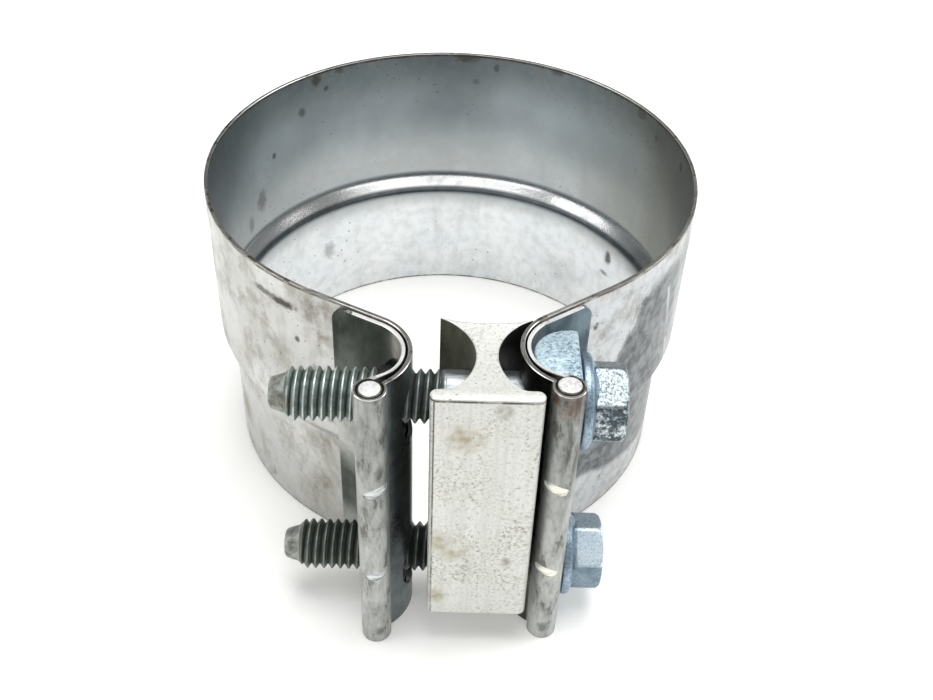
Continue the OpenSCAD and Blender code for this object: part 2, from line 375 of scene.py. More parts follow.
def rounded(profile, radius, steps):
    """The open profile with its inner corners rounded."""
    out = [profile[0]]
    for before, corner, after in zip(profile, profile[1:], profile[2:]):
        a, b, c = Vector(before), Vector(corner), Vector(after)
        reach = min(radius, (a - b).length * 0.45, (c - b).length * 0.45)
        u, v = b + (a - b).normalized() * reach, b + (c - b).normalized() * reach
        for t in span(0, 1, steps + 1):
            q = u * (1 - t) ** 2 + b * 2 * t * (1 - t) + v * t ** 2
            out.append((q.x, q.y))
    return out + [profile[-1]]


def prism(name, outline, z0, z1, edge):
    """Upright prism over a closed outline, its top and bottom edges rounded by edge(x, y)."""
    normals = normals_of(outline, closed=True)
    area = sum(a[0] * b[1] - a[1] * b[0] for a, b in zip(outline, outline[1:] + outline[:1]))
    sign = 1 if area > 0 else -1
    turns = span(0, pi / 2, 5)
    # each row: part of the height, lift and pull inwards as parts of the edge's radius
    rows = [(0, 1 - cos(t), 1 - sin(t)) for t in turns]
    rows += [(part, 0, 0) for part in (0.2, 0.4, 0.6, 0.8)]
    rows += [(1, cos(t) - 1, 1 - sin(t)) for t in reversed(turns)]
    verts = []
    for part, lift, pull in rows:
        for (x, y), (nx, ny) in zip(outline, normals):
            radius = edge(x, y)
            inwards = sign * radius * pull
            z = z0 + (z1 - z0) * part + radius * lift
            verts.append((x - inwards * nx, y - inwards * ny, z))
    return new_object(name, verts, skin(len(rows), len(outline)))


def bore_cutters(x0, x1):
    """Cylinders along the bolts, which clear them through the block and the bar."""
    return [lathe("cutter", [(x0, SPACER_BORE_R), (x1, SPACER_BORE_R)], "x", (0, 0, z), 64) for z in BOLT_Z]


def make_pin(name, side, body):
    """Retaining pin with rounded ends; the right one's top is dished."""
    node = "retaining_" + name
    top = heights(node)[1]
    profile = [(0, 0), (0, PIN_R - 0.15), (0.15, PIN_R), (top - 0.2, PIN_R), (top, PIN_R - 0.25), (top, 0)]
    profile = rounded(profile, 0.12, 3)
    if side > 0:
        profile = profile[:-1] + [(top, 0.9), (top - 0.1, 0.8), (top - 0.1, 0)]
    pin = lathe(name, profile, "z", (-side * PIN[0], PIN[1], 0), 72)
    soften(pin, 40)
    stand_for(pin, body, node)
    return pin


def block_outline():
    """Plan of the block: wide flange in front, hollow sides round the loops, hollowed back."""
    half_w, front, flange_t, round_r = 9.2, -12.75, 2.6, 1.3
    web, side_r, side_y = 1.86, 10.2, -2.0
    back, back_half_w, back_r = 7.45, 7.9, 32.0
    end = degrees(asin((back - 0.15 - side_y) / side_r))
    corner = arc((half_w - round_r, front + round_r), round_r, -90, 88, 14)
    hollow = arc((web + side_r, side_y), side_r, 180 + 49.5, 180 - end, 34)
    foot = hollow[0][0]
    inner = front + flange_t
    fillet = [(foot + 1.6, inner), (foot + 0.8, inner + 0.05)]
    bow_y = back + sqrt(back_r ** 2 - back_half_w ** 2)
    bow = [(x, bow_y - sqrt(back_r ** 2 - x * x)) for x in span(back_half_w - 0.12, 0, 12)]
    right = corner + fillet + hollow + bow
    left = [(-x, y) for x, y in reversed(right[:-1])]
    return [(BLOCK_X + x, y) for x, y in right + left]


def block_edge(x, y):
    """Radius of the block's upper and lower edges, almost sharp at the back's corners."""
    return 0.28 * (1 - 0.93 * smooth((abs(x - BLOCK_X) - 4.2) / 2.4) * smooth((y - 3) / 2))


def make_block():
    block = prism("reaction_block_body", block_outline(), *BLOCK_Z, block_edge)
    cut(block, bore_cutters(BLOCK_X - 12, BLOCK_X + 12))
    for poly in block.data.polygons:
        centre = poly.center / MM
        if abs(poly.normal.z) < 0.3 and -11.5 < centre.y < 7.4 and abs(centre.x - BLOCK_X) < 7.8:
            poly.material_index = 1
    soften(on_bolts(block), 34)
    stand_for(block, "spacer", "reaction_block")
    return block


def make_bar():
    """Half-round bar with a flat for the bolts' flanges."""
    radius, centre, flat = 6.3, (17.5, 0.35), 18.95
    open_angle = degrees(acos((flat - centre[0]) / radius)) + 3
    outline = arc(centre, radius, open_angle, 360 - open_angle, 64)
    y0, y1 = outline[-1][1], outline[0][1]
    outline += [(flat - 0.10, y0 + 0.14), (flat, y0 + 0.45)]
    outline += [(flat, y) for y in span(y0 + 2, y1 - 2, 6)]
    outline += [(flat, y1 - 0.45), (flat - 0.10, y1 - 0.14)]
    bar = prism("spacer_half_round", outline, *BAR_Z, lambda x, y: 0.4)
    cut(bar, bore_cutters(8, 22))
    soften(on_bolts(bar), 34)
    stand_for(bar, "spacer", "spacer_bar")
    return bar


def make_nut(node, z, seg=96):
    """Round-backed nut deep in the left loop; its back follows the loop's lining."""
    flat, inner, outer, back_r = -14.5, 4.81, 5.2, 6.8
    # position along the bolt, radius, and whether the position counts from the round back
    profile = ((flat, inner + 0.1, False), (flat, outer - 0.25, False), (flat + 0.25, outer, False),
               (-0.15, outer, True), (0, outer - 0.15, True), (0, inner + 0.1, True), (-0.1, inner, True),
               (flat + 0.1, inner, False))
    centre = Matrix.Rotation(-BOLT_YAW, 2) @ Vector((LINING[0], LINING[1] - BOLT_Y))
    n = len(profile)
    verts, faces = [], []
    for k in range(seg):
        t = 2 * pi * k / seg
        for x, radius, on_back in profile:
            y = radius * cos(t)
            back = centre.x + sqrt(back_r ** 2 - (y - centre.y) ** 2)
            verts.append((back + x if on_back else x, y, z + radius * sin(t)))
        q = (k + 1) % seg
        faces += [(k * n + i, q * n + i, q * n + (i + 1) % n, k * n + (i + 1) % n) for i in range(n)]
    nut = new_object(node + "_body", verts, faces)
    soften(on_bolts(nut), 34)
    stand_for(nut, "nuts", node)
    return nut


# -------- bolts
TIP_X, THREAD_X0, THREAD_X1, FLANGE_X, HEAD_END = -33.4, -30.4, -3.41, 19.6, 27.3


def thread_shape(u):
    """Height of the thread, 0 at the root and 1 at the crest, for u from 0 to 1 of a turn."""
    from_crest = abs((u % 1) - 0.5) * 2
    return clamped((0.93 - from_crest) / 0.80)


def thread_point(turns, u, z):
    """Point of the right-hand thread; u is the part of the pitch past the ridge's start."""
    around = 2 * pi * turns
    x = THREAD_X0 - PITCH + PITCH * (turns + u)
    radius = ROOT_R + (BOLT_R - ROOT_R) * thread_shape(u)
    radius = min(radius, 3.5 + max(0.0, x - THREAD_X0 + 0.3) * 1.05)
    run_out = 1.5
    if x > THREAD_X1 - run_out:
        fill = (BOLT_R - 0.03 - ROOT_R) * smooth((x - THREAD_X1 + run_out) / run_out)
        radius = max(radius, ROOT_R + fill)
    x = min(max(x, THREAD_X0 - 0.25), THREAD_X1 + 0.25)
    return (x, radius * cos(around), z - radius * sin(around))


def thread_mesh(z, seg=72, rows=12):
    """One closed helical ridge, run out at both ends."""
    total = int((THREAD_X1 - THREAD_X0 + 2 * PITCH) / PITCH * seg)
    verts = [thread_point(i / seg, k / rows, z) for i in range(total + 1) for k in range(rows)]
    faces = []
    for i in range(total):
        for k in range(rows):
            a, b = i * rows + k, (i + 1) * rows + k
            if k < rows - 1:
                faces.append((a, b, b + 1, a + 1))
            elif i + 1 + seg <= total:
                faces.append((a, b, (i + 1 + seg) * rows, (i + seg) * rows))
    return new_object("cutter", verts, faces)


def bolt_body(name, z):
    """Dog point, root of the thread, smooth shank and flange."""
    core = [(TIP_X, 0), (TIP_X, 2.35), (TIP_X + 0.4, 2.8), (THREAD_X0 - 0.35, 3.5), (THREAD_X0 - 0.2, 3.5),
            (THREAD_X0 + 0.3, 3.6), (THREAD_X1 - 1.6, 3.6), (THREAD_X1 + 0.2, BOLT_R),
            (THREAD_X1 + 1, BOLT_R), (FLANGE_X, BOLT_R)]
    # the flange: distance past its seat, radius
    flange = ((0, 8.05), (0.1, 8.26), (0.4, 8.38), (0.9, 8.4), (1.35, 8.3), (1.6, 8.05), (1.85, 7.5),
              (2.15, 6.95), (2.5, 6.6), (2.8, 6.3), (2.9, 5.0), (2.9, 0))
    profile = rounded(core, 0.25, 4) + [(FLANGE_X + x, radius) for x, radius in flange]
    return lathe(name, profile, "x", (0, 0, z), 96)


def bolt_head(z, turn, seg=144):
    """Hexagon with rounded corners and a domed edge."""
    half_flats, corner_r, dome = 6.35, 7.16, 1.5
    levels = (FLANGE_X + 2.2, FLANGE_X + 3.2, 23.6, 24.6, 25.4, 25.9, 26.2, 26.5, 26.7, 26.9,
              HEAD_END - 0.2, HEAD_END - 0.06, HEAD_END)
    verts = []
    for x in levels:
        lid = 6.05 + 1.2 * sqrt(1 - (1 - min(1.0, (HEAD_END - x) / dome)) ** 2)
        rim = max(0.0, 0.12 * (1 - (HEAD_END - x) / 0.1))
        for k in range(seg):
            angle = 360 * k / seg
            from_flat = radians(angle % 60 - 30)
            radius = min(half_flats / cos(from_flat), corner_r, lid) - rim
            around = radians(angle + turn)
            verts.append((x, radius * sin(around), z + radius * cos(around)))
    return new_object("cutter", verts, skin(len(levels), seg))


def make_bolt(name, z, turn):
    """Bolt along its own axis, with one facet of its head marked for the painted shade material, darker and
    mottled.
    """
    body = bolt_body(name, z)
    pieces = [body, thread_mesh(z), bolt_head(z, turn)]
    with bpy.context.temp_override(active_object=body, object=body, selected_objects=pieces,
                                   selected_editable_objects=pieces):
        bpy.ops.object.join()
    mesh = body.data
    radial = mesh.attributes.new("radial", "FLOAT", "POINT")
    radial.data.foreach_set("value", [hypot(v.co.y, v.co.z - z * MM) for v in mesh.vertices])
    along = mesh.attributes.new("along", "FLOAT", "POINT")
    along.data.foreach_set("value", [v.co.x for v in mesh.vertices])
    for poly in mesh.polygons:
        centre = poly.center / MM
        on_head = FLANGE_X + 2.3 < centre.x < HEAD_END - 0.2 and hypot(centre.y, centre.z - z) > 6
        around = degrees(atan2(-centre.y, centre.z - z)) + turn
        if on_head and abs(around - 90) < 31:
            poly.material_index = 1
    soften(on_bolts(body), 36)
    stand_for(body, name, name)
    return body


# -------- materials
class Nodes:
    """Short calls for building a node material. Lengths are in mm, noise scales per metre."""

    def __init__(self, name, place=None):
        """place names an attribute that holds each point's place as built."""
        self.mat = bpy.data.materials.new(name)
        self.mat.use_nodes = True
        self.tree = self.mat.node_tree
        self.bsdf = next(n for n in self.tree.nodes if n.type == "BSDF_PRINCIPLED")
        if place:
            self.co = self._attribute(place).outputs["Vector"]
        else:
            self.co = self._node("TexCoord").outputs["Object"]
        self.x, self.y, self.z = self._node("SeparateXYZ", Vector=self.co).outputs

    def link(self, output, socket):
        self.tree.links.new(output, socket)

    def _put(self, socket, value):
        if isinstance(value, bpy.types.NodeSocket):
            self.link(value, socket)
        else:
            socket.default_value = value

    def _node(self, kind, **inputs):
        """New node with its inputs linked or set; underscores stand for spaces in their names."""
        node = self.tree.nodes.new("ShaderNode" + kind)
        for name, value in inputs.items():
            self._put(node.inputs[name.replace("_", " ")], value)
        return node

    def _attribute(self, name):
        node = self._node("Attribute")
        node.attribute_name = name
        return node

    def stored(self, name):
        return self._attribute(name).outputs["Fac"]

    def mapped(self, scale, offset=(0, 0, 0)):
        return self._node("Mapping", Scale=scale, Location=offset, Vector=self.co).outputs["Vector"]

    def noise(self, scale, detail=3, rough=0.55, vector=None):
        node = self._node("TexNoise", Scale=scale, Detail=detail, Roughness=rough, Vector=vector or self.co)
        return node.outputs["Fac"]

    def stretched(self, scales, detail=4, rough=0.6):
        """Noise with its own scale along each axis."""
        return self.noise(1, detail, rough, self.mapped(scales))

    def voronoi(self, scale, vector=None):
        return self._node("TexVoronoi", Scale=scale, Vector=vector or self.co).outputs["Distance"]

    def ramp(self, factor, *stops):
        """Each stop is a position and a grey or a colour."""
        node = self._node("ValToRGB", Fac=factor)
        elements = node.color_ramp.elements
        while len(elements) < len(stops):
            elements.new(0.5)
        for element, (position, colour) in zip(elements, stops):
            element.position = position
            element.color = (*colour, 1) if isinstance(colour, tuple) else (colour, colour, colour, 1)
        return node.outputs["Color"]

    def mix(self, factor, a, b):
        node = self._node("Mix")
        node.data_type = "RGBA"
        self._put(node.inputs["Factor"], factor)
        for name, colour in (("A", a), ("B", b)):
            socket = next(i for i in node.inputs if i.name == name and i.type == "RGBA")
            self._put(socket, (*colour, 1) if isinstance(colour, tuple) else colour)
        return next(o for o in node.outputs if o.type == "RGBA")

    def math(self, operation, *values):
        node = self._node("Math")
        node.operation = operation
        for socket, value in zip(node.inputs, values):
            self._put(socket, value)
        return node.outputs["Value"]

    def times(self, first, *others):
        for other in others:
            first = self.math("MULTIPLY", first, other)
        return first

    def most(self, first, *others):
        for other in others:
            first = self.math("MAXIMUM", first, other)
        return first

    def linear(self, value, factor, offset):
        return self.math("MULTIPLY_ADD", value, factor, offset)

    def vector_math(self, operation, a, b=None):
        node = self._node("VectorMath")
        node.operation = operation
        self.link(a, node.inputs[0])
        if b is not None:
            node.inputs[1].default_value = b
        return node.outputs["Value" if operation == "LENGTH" else "Vector"]

    def fade(self, value, start, end):
        """0 on start's side and 1 past end, smooth between them."""
        node = self._node("MapRange", Value=value, From_Min=start * MM, From_Max=end * MM)
        node.interpolation_type = "SMOOTHSTEP"
        return node.outputs["Result"]

    def zone(self, value, start, low, high, end):
        """1 from low to high, fading to 0 at start and end."""
        return self.times(self.fade(value, start, low), self.fade(value, end, high))

    def spot(self, centre, radius, soft=0.6, stretch=(1, 1, 1)):
        """1 near centre, 0 away from it, with a noisy rim; stretch multiplies the distances."""
        away = self.vector_math("SUBTRACT", self.co, Vector(centre) * MM)
        distance = self.vector_math("LENGTH", self.vector_math("MULTIPLY", away, stretch))
        wobble = self.linear(self.noise(900, 3, 0.6), 1.6 * radius * MM, -0.8 * radius * MM)
        return self.fade(self.math("ADD", distance, wobble), radius * (1 + soft), radius * (1 - soft))

    def disc(self, centre, radius):
        """1 within the radius of an upright axis through centre."""
        dx = self.math("SUBTRACT", self.x, centre[0] * MM)
        dy = self.math("SUBTRACT", self.y, centre[1] * MM)
        distance = self.math("SQRT", self.math("ADD", self.times(dx, dx), self.times(dy, dy)))
        return self.fade(distance, radius + 0.03, radius - 0.03)

    def bump(self, height, strength, distance, after=None):
        node = self._node("Bump", Strength=strength, Distance=distance * MM, Height=height)
        if after is not None:
            self.link(after, node.inputs["Normal"])
        return node.outputs["Normal"]

    def done(self, colour, rough, metallic, normal=None):
        for name, value in (("Base Color", colour), ("Roughness", rough), ("Metallic", metallic)):
            self._put(self.bsdf.inputs[name], value)
        if normal is not None:
            self.link(normal, self.bsdf.inputs["Normal"])
        return self.mat


def paint(obj, *mats):
    """Gives the piece its materials, for the faces' numbers that it was made with."""
    index = [poly.material_index for poly in obj.data.polygons]
    obj.data.materials.clear()
    for mat in mats:
        obj.data.materials.append(mat)
    obj.data.polygons.foreach_set("material_index", [min(i, len(mats) - 1) for i in index])


# Stains on the band: centre in mm, radius, stretch of the distance along X, Y and Z, strength
STAINS = (
    ((-32.1, -37.6, 57.9), 1.5, (0.5, 0.5, 1.7), 0.95), ((-35.6, -34.3, 58.2), 1.1, (0.5, 0.5, 1.5), 0.7),
    ((-29.6, -39.7, 50.8), 0.5, (1, 1, 0.7), 0.8), ((-38.4, -28.0, 3.4), 0.7, (1, 1, 0.6), 0.6),
    ((-33.0, -36.4, 45.0), 0.4, (1, 1, 0.5), 0.5), ((-26.5, -41.6, 45.5), 0.5, (1, 1, 0.5), 0.4),
    ((24.4, -43.6, 56.0), 0.6, (1, 1, 0.7), 0.8), ((-29.2, 39.1, 61.6), 1.1, (1, 1, 0.8), 0.8),
    ((-27.1, 40.5, 58.9), 0.6, (1, 1, 1), 0.7), ((-23.8, 42.5, 62.6), 0.9, (1, 1, 1), 0.7),
    ((-32.6, 36.2, 55.0), 0.9, (1, 1, 0.8), 0.6), ((-39.1, 29.2, 47.8), 0.6, (1, 1, 0.8), 0.8),
    ((-42.2, 24.4, 38.6), 1.5, (1, 1, 0.6), 0.5), ((-44.3, 20.0, 35.0), 1.0, (1, 1, 0.5), 0.4),
    ((5.7, 48.4, 62.9), 1.5, (0.5, 1, 1.2), 0.7), ((12.8, 47.0, 60.6), 0.7, (1, 1, 0.8), 0.6),
    ((8.3, 48.0, 56.6), 0.7, (1, 1, 1), 0.35), ((26.6, 40.9, 62.9), 1.0, (0.6, 1, 1), 0.6),
    ((43.1, 22.7, 62.4), 1.2, (0.8, 0.8, 0.7), 0.6), ((48.5, 4.5, 59.6), 0.8, (1, 1, 0.7), 0.9),
    ((40.1, 23.2, 22.4), 1.0, (1, 1, 0.6), 0.8), ((39.8, 23.8, 17.4), 0.8, (0.6, 0.6, 1.5), 0.6),
    ((-28.2, 36.8, 15.5), 1.5, (1, 1, 0.7), 0.35), ((-15.2, -69.6, 3.2), 0.8, (1, 1, 0.8), 0.6),
    ((15.6, -69.6, 3.6), 0.9, (1, 1, 0.7), 0.6), ((-16.6, -69.6, 18.0), 0.6, (1, 1, 0.8), 0.5),
    ((-14.6, -69.4, 46.5), 0.8, (1, 1, 0.5), 0.5), ((-17.2, -69.4, 37.0), 0.6, (1, 1, 0.5), 0.5),
    ((31.5, 34.0, 10.0), 5.0, (1, 1, 1), 0.10),
)
# Soft brown clouds on the band: centre, radius. They are grime, except the one at (-25.2, -40.0, 24.0), a
# painted brown shadow under a bolt's thread.
CLOUDS = (
    ((-25.4, -42.3, 59.5), 3.6), ((-24.8, -42.4, 53.0), 3.0), ((-46.5, -12.0, 32.0), 6.5),
    ((-42.5, -20.5, 27.0), 5.0), ((-47.5, -9.0, 48.0), 4.5), ((-25.2, -40.0, 24.0), 5.0),
    ((-25.6, -39.4, 13.0), 4.5), ((-28.5, -37.6, 6.0), 4.0), ((-44.0, -15.0, 12.0), 4.0),
)
# Brown spots on the block: colour, centre, radius
OCHRE = (0.34, 0.29, 0.15)
BLOCK_STAINS = (
    (OCHRE, (-0.6, -69.9, 55.0), 2.6), (OCHRE, (-2.6, -69.9, 27.0), 2.4), (OCHRE, (-5.4, -69.5, 30.0), 1.8),
    (OCHRE, (-4.8, -69.6, 14.0), 1.5), ((0.20, 0.18, 0.14), (7.4, -70.3, 24.0), 0.9),
    ((0.22, 0.20, 0.16), (5.4, -70.2, 61.0), 1.2),
)


def inner_side(k):
    """1 on the ring's inner face, 0 on its outer face and on the loops."""
    r = k.math("SQRT", k.math("ADD", k.times(k.x, k.x), k.times(k.y, k.y)))
    grows = (RING_LARGE_R - RING_SMALL_R) * MM
    middle = k.linear(k.fade(k.z, STEP_LOW, STEP_HIGH), grows, (RING_SMALL_R - SHEET / 2) * MM)
    return k.fade(k.math("SUBTRACT", middle, r), -0.1, 0.1)


def inner_face(k, cloud):
    """Blue grey, darker at the top, and painted pale below the step as painted light; the step runs between a
    thin dark line above it and a painted soft shadow below it.
    """
    upper = k.ramp(cloud, (0.3, (0.24, 0.275, 0.295)), (0.7, (0.345, 0.385, 0.41)))
    middle = k.ramp(cloud, (0.3, (0.38, 0.41, 0.415)), (0.7, (0.47, 0.495, 0.50)))
    colour = k.mix(k.fade(k.z, 48, 36), upper, middle)
    colour = k.mix(k.times(k.fade(k.z, 52, 62), 0.6), colour, (0.15, 0.18, 0.185))
    patches = k.ramp(k.stretched((70, 70, 16)), (0.4, 0.45), (0.6, 0.80))
    colour = k.mix(k.times(k.fade(k.x, 30, 46), patches), colour, (0.24, 0.235, 0.19))
    # Painted light: the inside below the step is painted pale for the light it gets from the floor.
    lower = k.ramp(cloud, (0.3, (0.70, 0.74, 0.755)), (0.7, (0.80, 0.82, 0.825)))
    colour = k.mix(k.fade(k.z, 26.8, 21.5), colour, lower)
    above_step = k.zone(k.z, 30.2, 30.7, 31.0, 32.0)
    # Painted shadow: the soft dark line below the step.
    below_step = k.zone(k.z, 25.6, 27.0, 27.9, 29.0)
    return k.mix(k.times(k.most(above_step, below_step), 0.85), colour, (0.10, 0.125, 0.14))


def step_highlight_band(k, inner):
    """Painted highlight: a bright band inside the step, over the back half of the ring."""
    band = k.zone(k.z, 27.7, 28.5, 30.2, 30.8)
    paler_part = k.ramp(k.noise(75, 3, 0.6), (0.34, 0.45), (0.46, 1.0))
    return k.times(band, k.fade(k.y, 6, 24), paler_part, inner)


def dark_flank(k, front):
    """Dark reflection on the front right of the ring, with a ragged slanted edge."""
    wave = k.linear(k.noise(140, 5, 0.7, k.mapped((1, 1, 0.5))), 12 * MM, -6 * MM)
    slope = k.linear(k.math("SUBTRACT", k.z, 46 * MM), -0.42, -30 * MM)
    side = k.math("ADD", slope, k.math("ADD", k.x, wave))
    tilt = k.linear(k.math("SUBTRACT", k.x, 27 * MM), 0.35, k.z)
    bottom = k.math("ADD", tilt, k.times(wave, 0.4))
    shade = k.times(k.fade(side, -0.5, 1.5), k.fade(bottom, 11.2, 13.5), k.fade(k.z, 60.5, 56.0), front)
    return k.times(shade, k.linear(k.fade(k.x, 42.5, 44.5), -0.45, 0.92))


def glint(k, front):
    """Thin broken bright line, slanting, in the dark reflection."""
    across = k.math("ABSOLUTE", k.math("SUBTRACT", k.x, k.linear(k.z, -0.138, 48.1 * MM)))
    broken = k.ramp(k.noise(160, 3), (0.42, 0.0), (0.55, 1.0))
    return k.times(k.fade(across, 0.5, 0.1), front, k.fade(k.z, 57.5, 54.0), broken, k.fade(k.x, 36, 38))


def loop_wall(k):
    """1 on the outer walls of the loops, between the curls and the gap."""
    width = k.fade(k.math("ABSOLUTE", k.x), 13.6, 13.0)
    return k.times(width, k.fade(k.y, -66.5, -65.5), k.fade(k.y, -20, -25))


def outer_face(k, cloud, fine, shade, bright_line, wall):
    """Warm white, cooler on the right, with the dark reflection, and the loops' walls beside the block
    painted dark as shade.
    """
    colour = k.ramp(cloud, (0.3, (0.43, 0.435, 0.415)), (0.7, (0.585, 0.59, 0.575)))
    cool = k.ramp(fine, (0.36, (0.36, 0.395, 0.42)), (0.56, (0.60, 0.635, 0.665)))
    colour = k.mix(k.times(k.fade(k.x, 0, 22), 0.65), colour, cool)
    dark = k.ramp(fine, (0.36, (0.028, 0.036, 0.041)), (0.64, (0.12, 0.142, 0.155)))
    colour = k.mix(shade, colour, dark)
    colour = k.mix(k.times(bright_line, 0.6), colour, (0.60, 0.63, 0.65))
    # Painted shade on the loops' walls in the gaps beside the block: dark blue grey on the left, near black
    # on the right.
    left = k.ramp(cloud, (0.35, (0.085, 0.105, 0.115)), (0.65, (0.19, 0.225, 0.24)))
    right = k.ramp(cloud, (0.35, (0.030, 0.031, 0.024)), (0.65, (0.075, 0.078, 0.062)))
    return k.mix(wall, colour, k.mix(k.fade(k.x, -2, 2), left, right))


def brown_grime_and_shadow(k, covered):
    """Brown clouds, thin upright streaks, and a mottle where the face isn't covered by other marks; the
    clouds are grime and one painted shadow.
    """
    clouds = k.most(*(k.spot(centre, radius, 0.9) for centre, radius in CLOUDS))
    clouds = k.times(clouds, k.ramp(k.noise(210, 5, 0.7, k.mapped((1, 1, 0.7))), (0.40, 0.10), (0.60, 1.0)))
    streak = k.ramp(k.stretched((420, 420, 60)), (0.50, 0.0), (0.72, 1.0))
    patch = k.ramp(k.noise(38, 3, 0.5, k.mapped((1, 1, 0.6), (3, 1, 2))), (0.46, 0.0), (0.66, 1.0))
    mottle = k.ramp(k.noise(170, 5, 0.72, k.mapped((1, 1, 0.8), (2, 0, 4))), (0.50, 0.0), (0.62, 0.5))
    return k.most(clouds, k.times(streak, patch, 0.25), k.times(mottle, k.math("SUBTRACT", 1.0, covered)))


def specks(k, inner, grime_and_shadow):
    """Small dark specks, most of them in the grime and painted shadow and on the outer face."""
    speck = k.ramp(k.voronoi(520, k.mapped((1, 1, 1), (5, 2, 1))), (0.07, 1.0), (0.15, 0.0))
    patch = k.ramp(k.noise(45, 2, 0.5, k.mapped((1, 1, 1), (8, 0, 0))), (0.50, 0.0), (0.60, 0.8))
    outer = k.times(k.math("SUBTRACT", 1.0, inner), 0.6)
    return k.times(speck, k.most(patch, grime_and_shadow, outer), 0.85)


def rims(k, base, edge):
    """The sheet's cut edges: a grey top face over a thin brown line, with a painted highlight on the rounded
    edges, duller at the front left and right.
    """
    under = k.most(k.zone(k.z, 62.7, 63.0, 63.30, 63.38), k.fade(k.z, 0.6, 0.2))
    under = k.times(under, k.ramp(edge, (0.36, 0.35), (0.55, 0.95)))
    base = k.mix(under, base, (0.09, 0.07, 0.045))
    top = k.ramp(edge, (0.36, (0.12, 0.10, 0.07)), (0.46, (0.34, 0.335, 0.31)))
    # Painted highlight on the rounded edges, duller at the front left and right.
    bright = k.ramp(edge, (0.34, (0.34, 0.32, 0.27)), (0.42, (0.90, 0.90, 0.88)))
    dull = k.ramp(edge, (0.40, (0.08, 0.06, 0.035)), (0.56, (0.34, 0.32, 0.27)))
    sides = k.times(k.fade(k.y, -4, -20), k.fade(k.math("ABSOLUTE", k.x), 20, 24))
    bevel = k.mix(sides, bright, dull)
    return k.mix(k.fade(k.z, 63.35, 63.40), base, k.mix(k.fade(k.z, 63.485, 63.497), bevel, top))


def curl_colour(k, mottle):
    """Cloudy grey with brown spots, darker towards the top and sooty on the right one."""
    low, high = (k.ramp(mottle, (0.36, spots), (0.43, mid), (0.60, pale)) for spots, mid, pale in (
        ((0.12, 0.12, 0.10), (0.31, 0.325, 0.305), (0.49, 0.505, 0.485)),
        ((0.07, 0.07, 0.055), (0.20, 0.21, 0.195), (0.34, 0.355, 0.34))))
    soot = k.ramp(k.noise(1, 4, 0.65, k.mapped((420, 420, 90), (3, 0, 1))), (0.46, 0.0), (0.56, 0.85))
    soot = k.times(soot, k.fade(k.x, 15.2, 16.8), k.fade(k.z, 40, 50))
    return k.mix(soot, k.mix(k.fade(k.z, 16, 56), low, high), (0.035, 0.032, 0.022))


def curl_rust(k, edge):
    """Rust round the top of the right curl."""
    side, back = k.spot((18.2, -67.6, 63.0), 0.8), k.spot((14.0, -68.2, 62.2), 1.0, 0.6, (1, 1, 0.8))
    front = k.times(k.spot((15.9, -69.6, 61.2), 1.9, 0.8, (0.8, 1, 0.9)), 0.75)
    return k.times(k.most(side, back, front), k.ramp(edge, (0.36, 0.4), (0.5, 1.0)))


def band_material():
    k = Nodes("band_steel", "place")
    inner, front = inner_side(k), k.fade(k.y, 14, 4)
    cloud, fine, edge = k.noise(55, 4, 0.55), k.noise(420, 4, 0.6), k.noise(330, 4, 0.7)
    shade, wall = dark_flank(k, front), loop_wall(k)
    outside = outer_face(k, cloud, fine, shade, glint(k, front), wall)
    base = k.mix(inner, outside, inner_face(k, cloud))
    base = k.mix(k.ramp(fine, (0.42, 0.0), (0.75, 0.35)), base, (0.33, 0.34, 0.34))
    grime_and_shadow = brown_grime_and_shadow(k, k.most(wall, shade, inner))
    # Brown grime, with one cloud that is a painted shadow.
    base = k.mix(k.times(grime_and_shadow, 0.80), base, (0.22, 0.19, 0.13))
    base = k.mix(specks(k, inner, grime_and_shadow), base, (0.075, 0.063, 0.042))
    base = rims(k, base, edge)
    curl = k.times(k.fade(k.y, -63.6, -64.6), k.math("SUBTRACT", 1.0, wall), k.fade(k.z, 63.40, 63.30))
    mottle = k.stretched((560, 560, 170), 5, 0.68)
    base = k.mix(k.times(curl, 0.9), base, curl_colour(k, mottle))
    rust = curl_rust(k, edge)
    base = k.mix(rust, base, k.ramp(mottle, (0.42, (0.030, 0.020, 0.012)), (0.56, (0.115, 0.052, 0.024))))
    # Painted shade: a dark ring on the curls' tops round the pins, for the shaded gap between pin and curl.
    rings = k.most(k.disc(PIN, 2.36), k.disc((-PIN[0], PIN[1]), 2.36))
    base = k.mix(k.times(k.fade(k.z, 63.35, 63.40), rings), base, (0.03, 0.025, 0.015))
    smudge = k.most(*(k.times(k.spot(centre, radius, 0.5, stretch), strength)
                      for centre, radius, stretch, strength in STAINS))
    base = k.mix(smudge, base, (0.045, 0.040, 0.027))
    painted_step_highlight = step_highlight_band(k, inner)
    # Painted highlight: the step's band is painted white.
    base = k.mix(painted_step_highlight, base, (1.0, 1.0, 1.0))
    dirt_and_shadow = k.most(k.times(curl, 0.5), smudge, rust, grime_and_shadow)
    metal = k.math("SUBTRACT", 0.95, k.times(dirt_and_shadow, 0.7))
    rough = k.math("ADD", k.ramp(k.noise(90, 4, 0.6), (0.3, 0.26), (0.7, 0.36)), k.times(dirt_and_shadow, 0.25))
    rough = k.times(rough, k.linear(painted_step_highlight, -0.35, 1.0))
    dents = k.bump(k.noise(26, 2, 0.5), 0.25, 0.9)
    rolled = k.bump(k.stretched((900, 900, 120), 3, 0.6), 0.08, 0.2, dents)
    return k.done(base, rough, metal, k.bump(k.noise(1500, 3, 0.6), 0.10, 0.12, rolled))


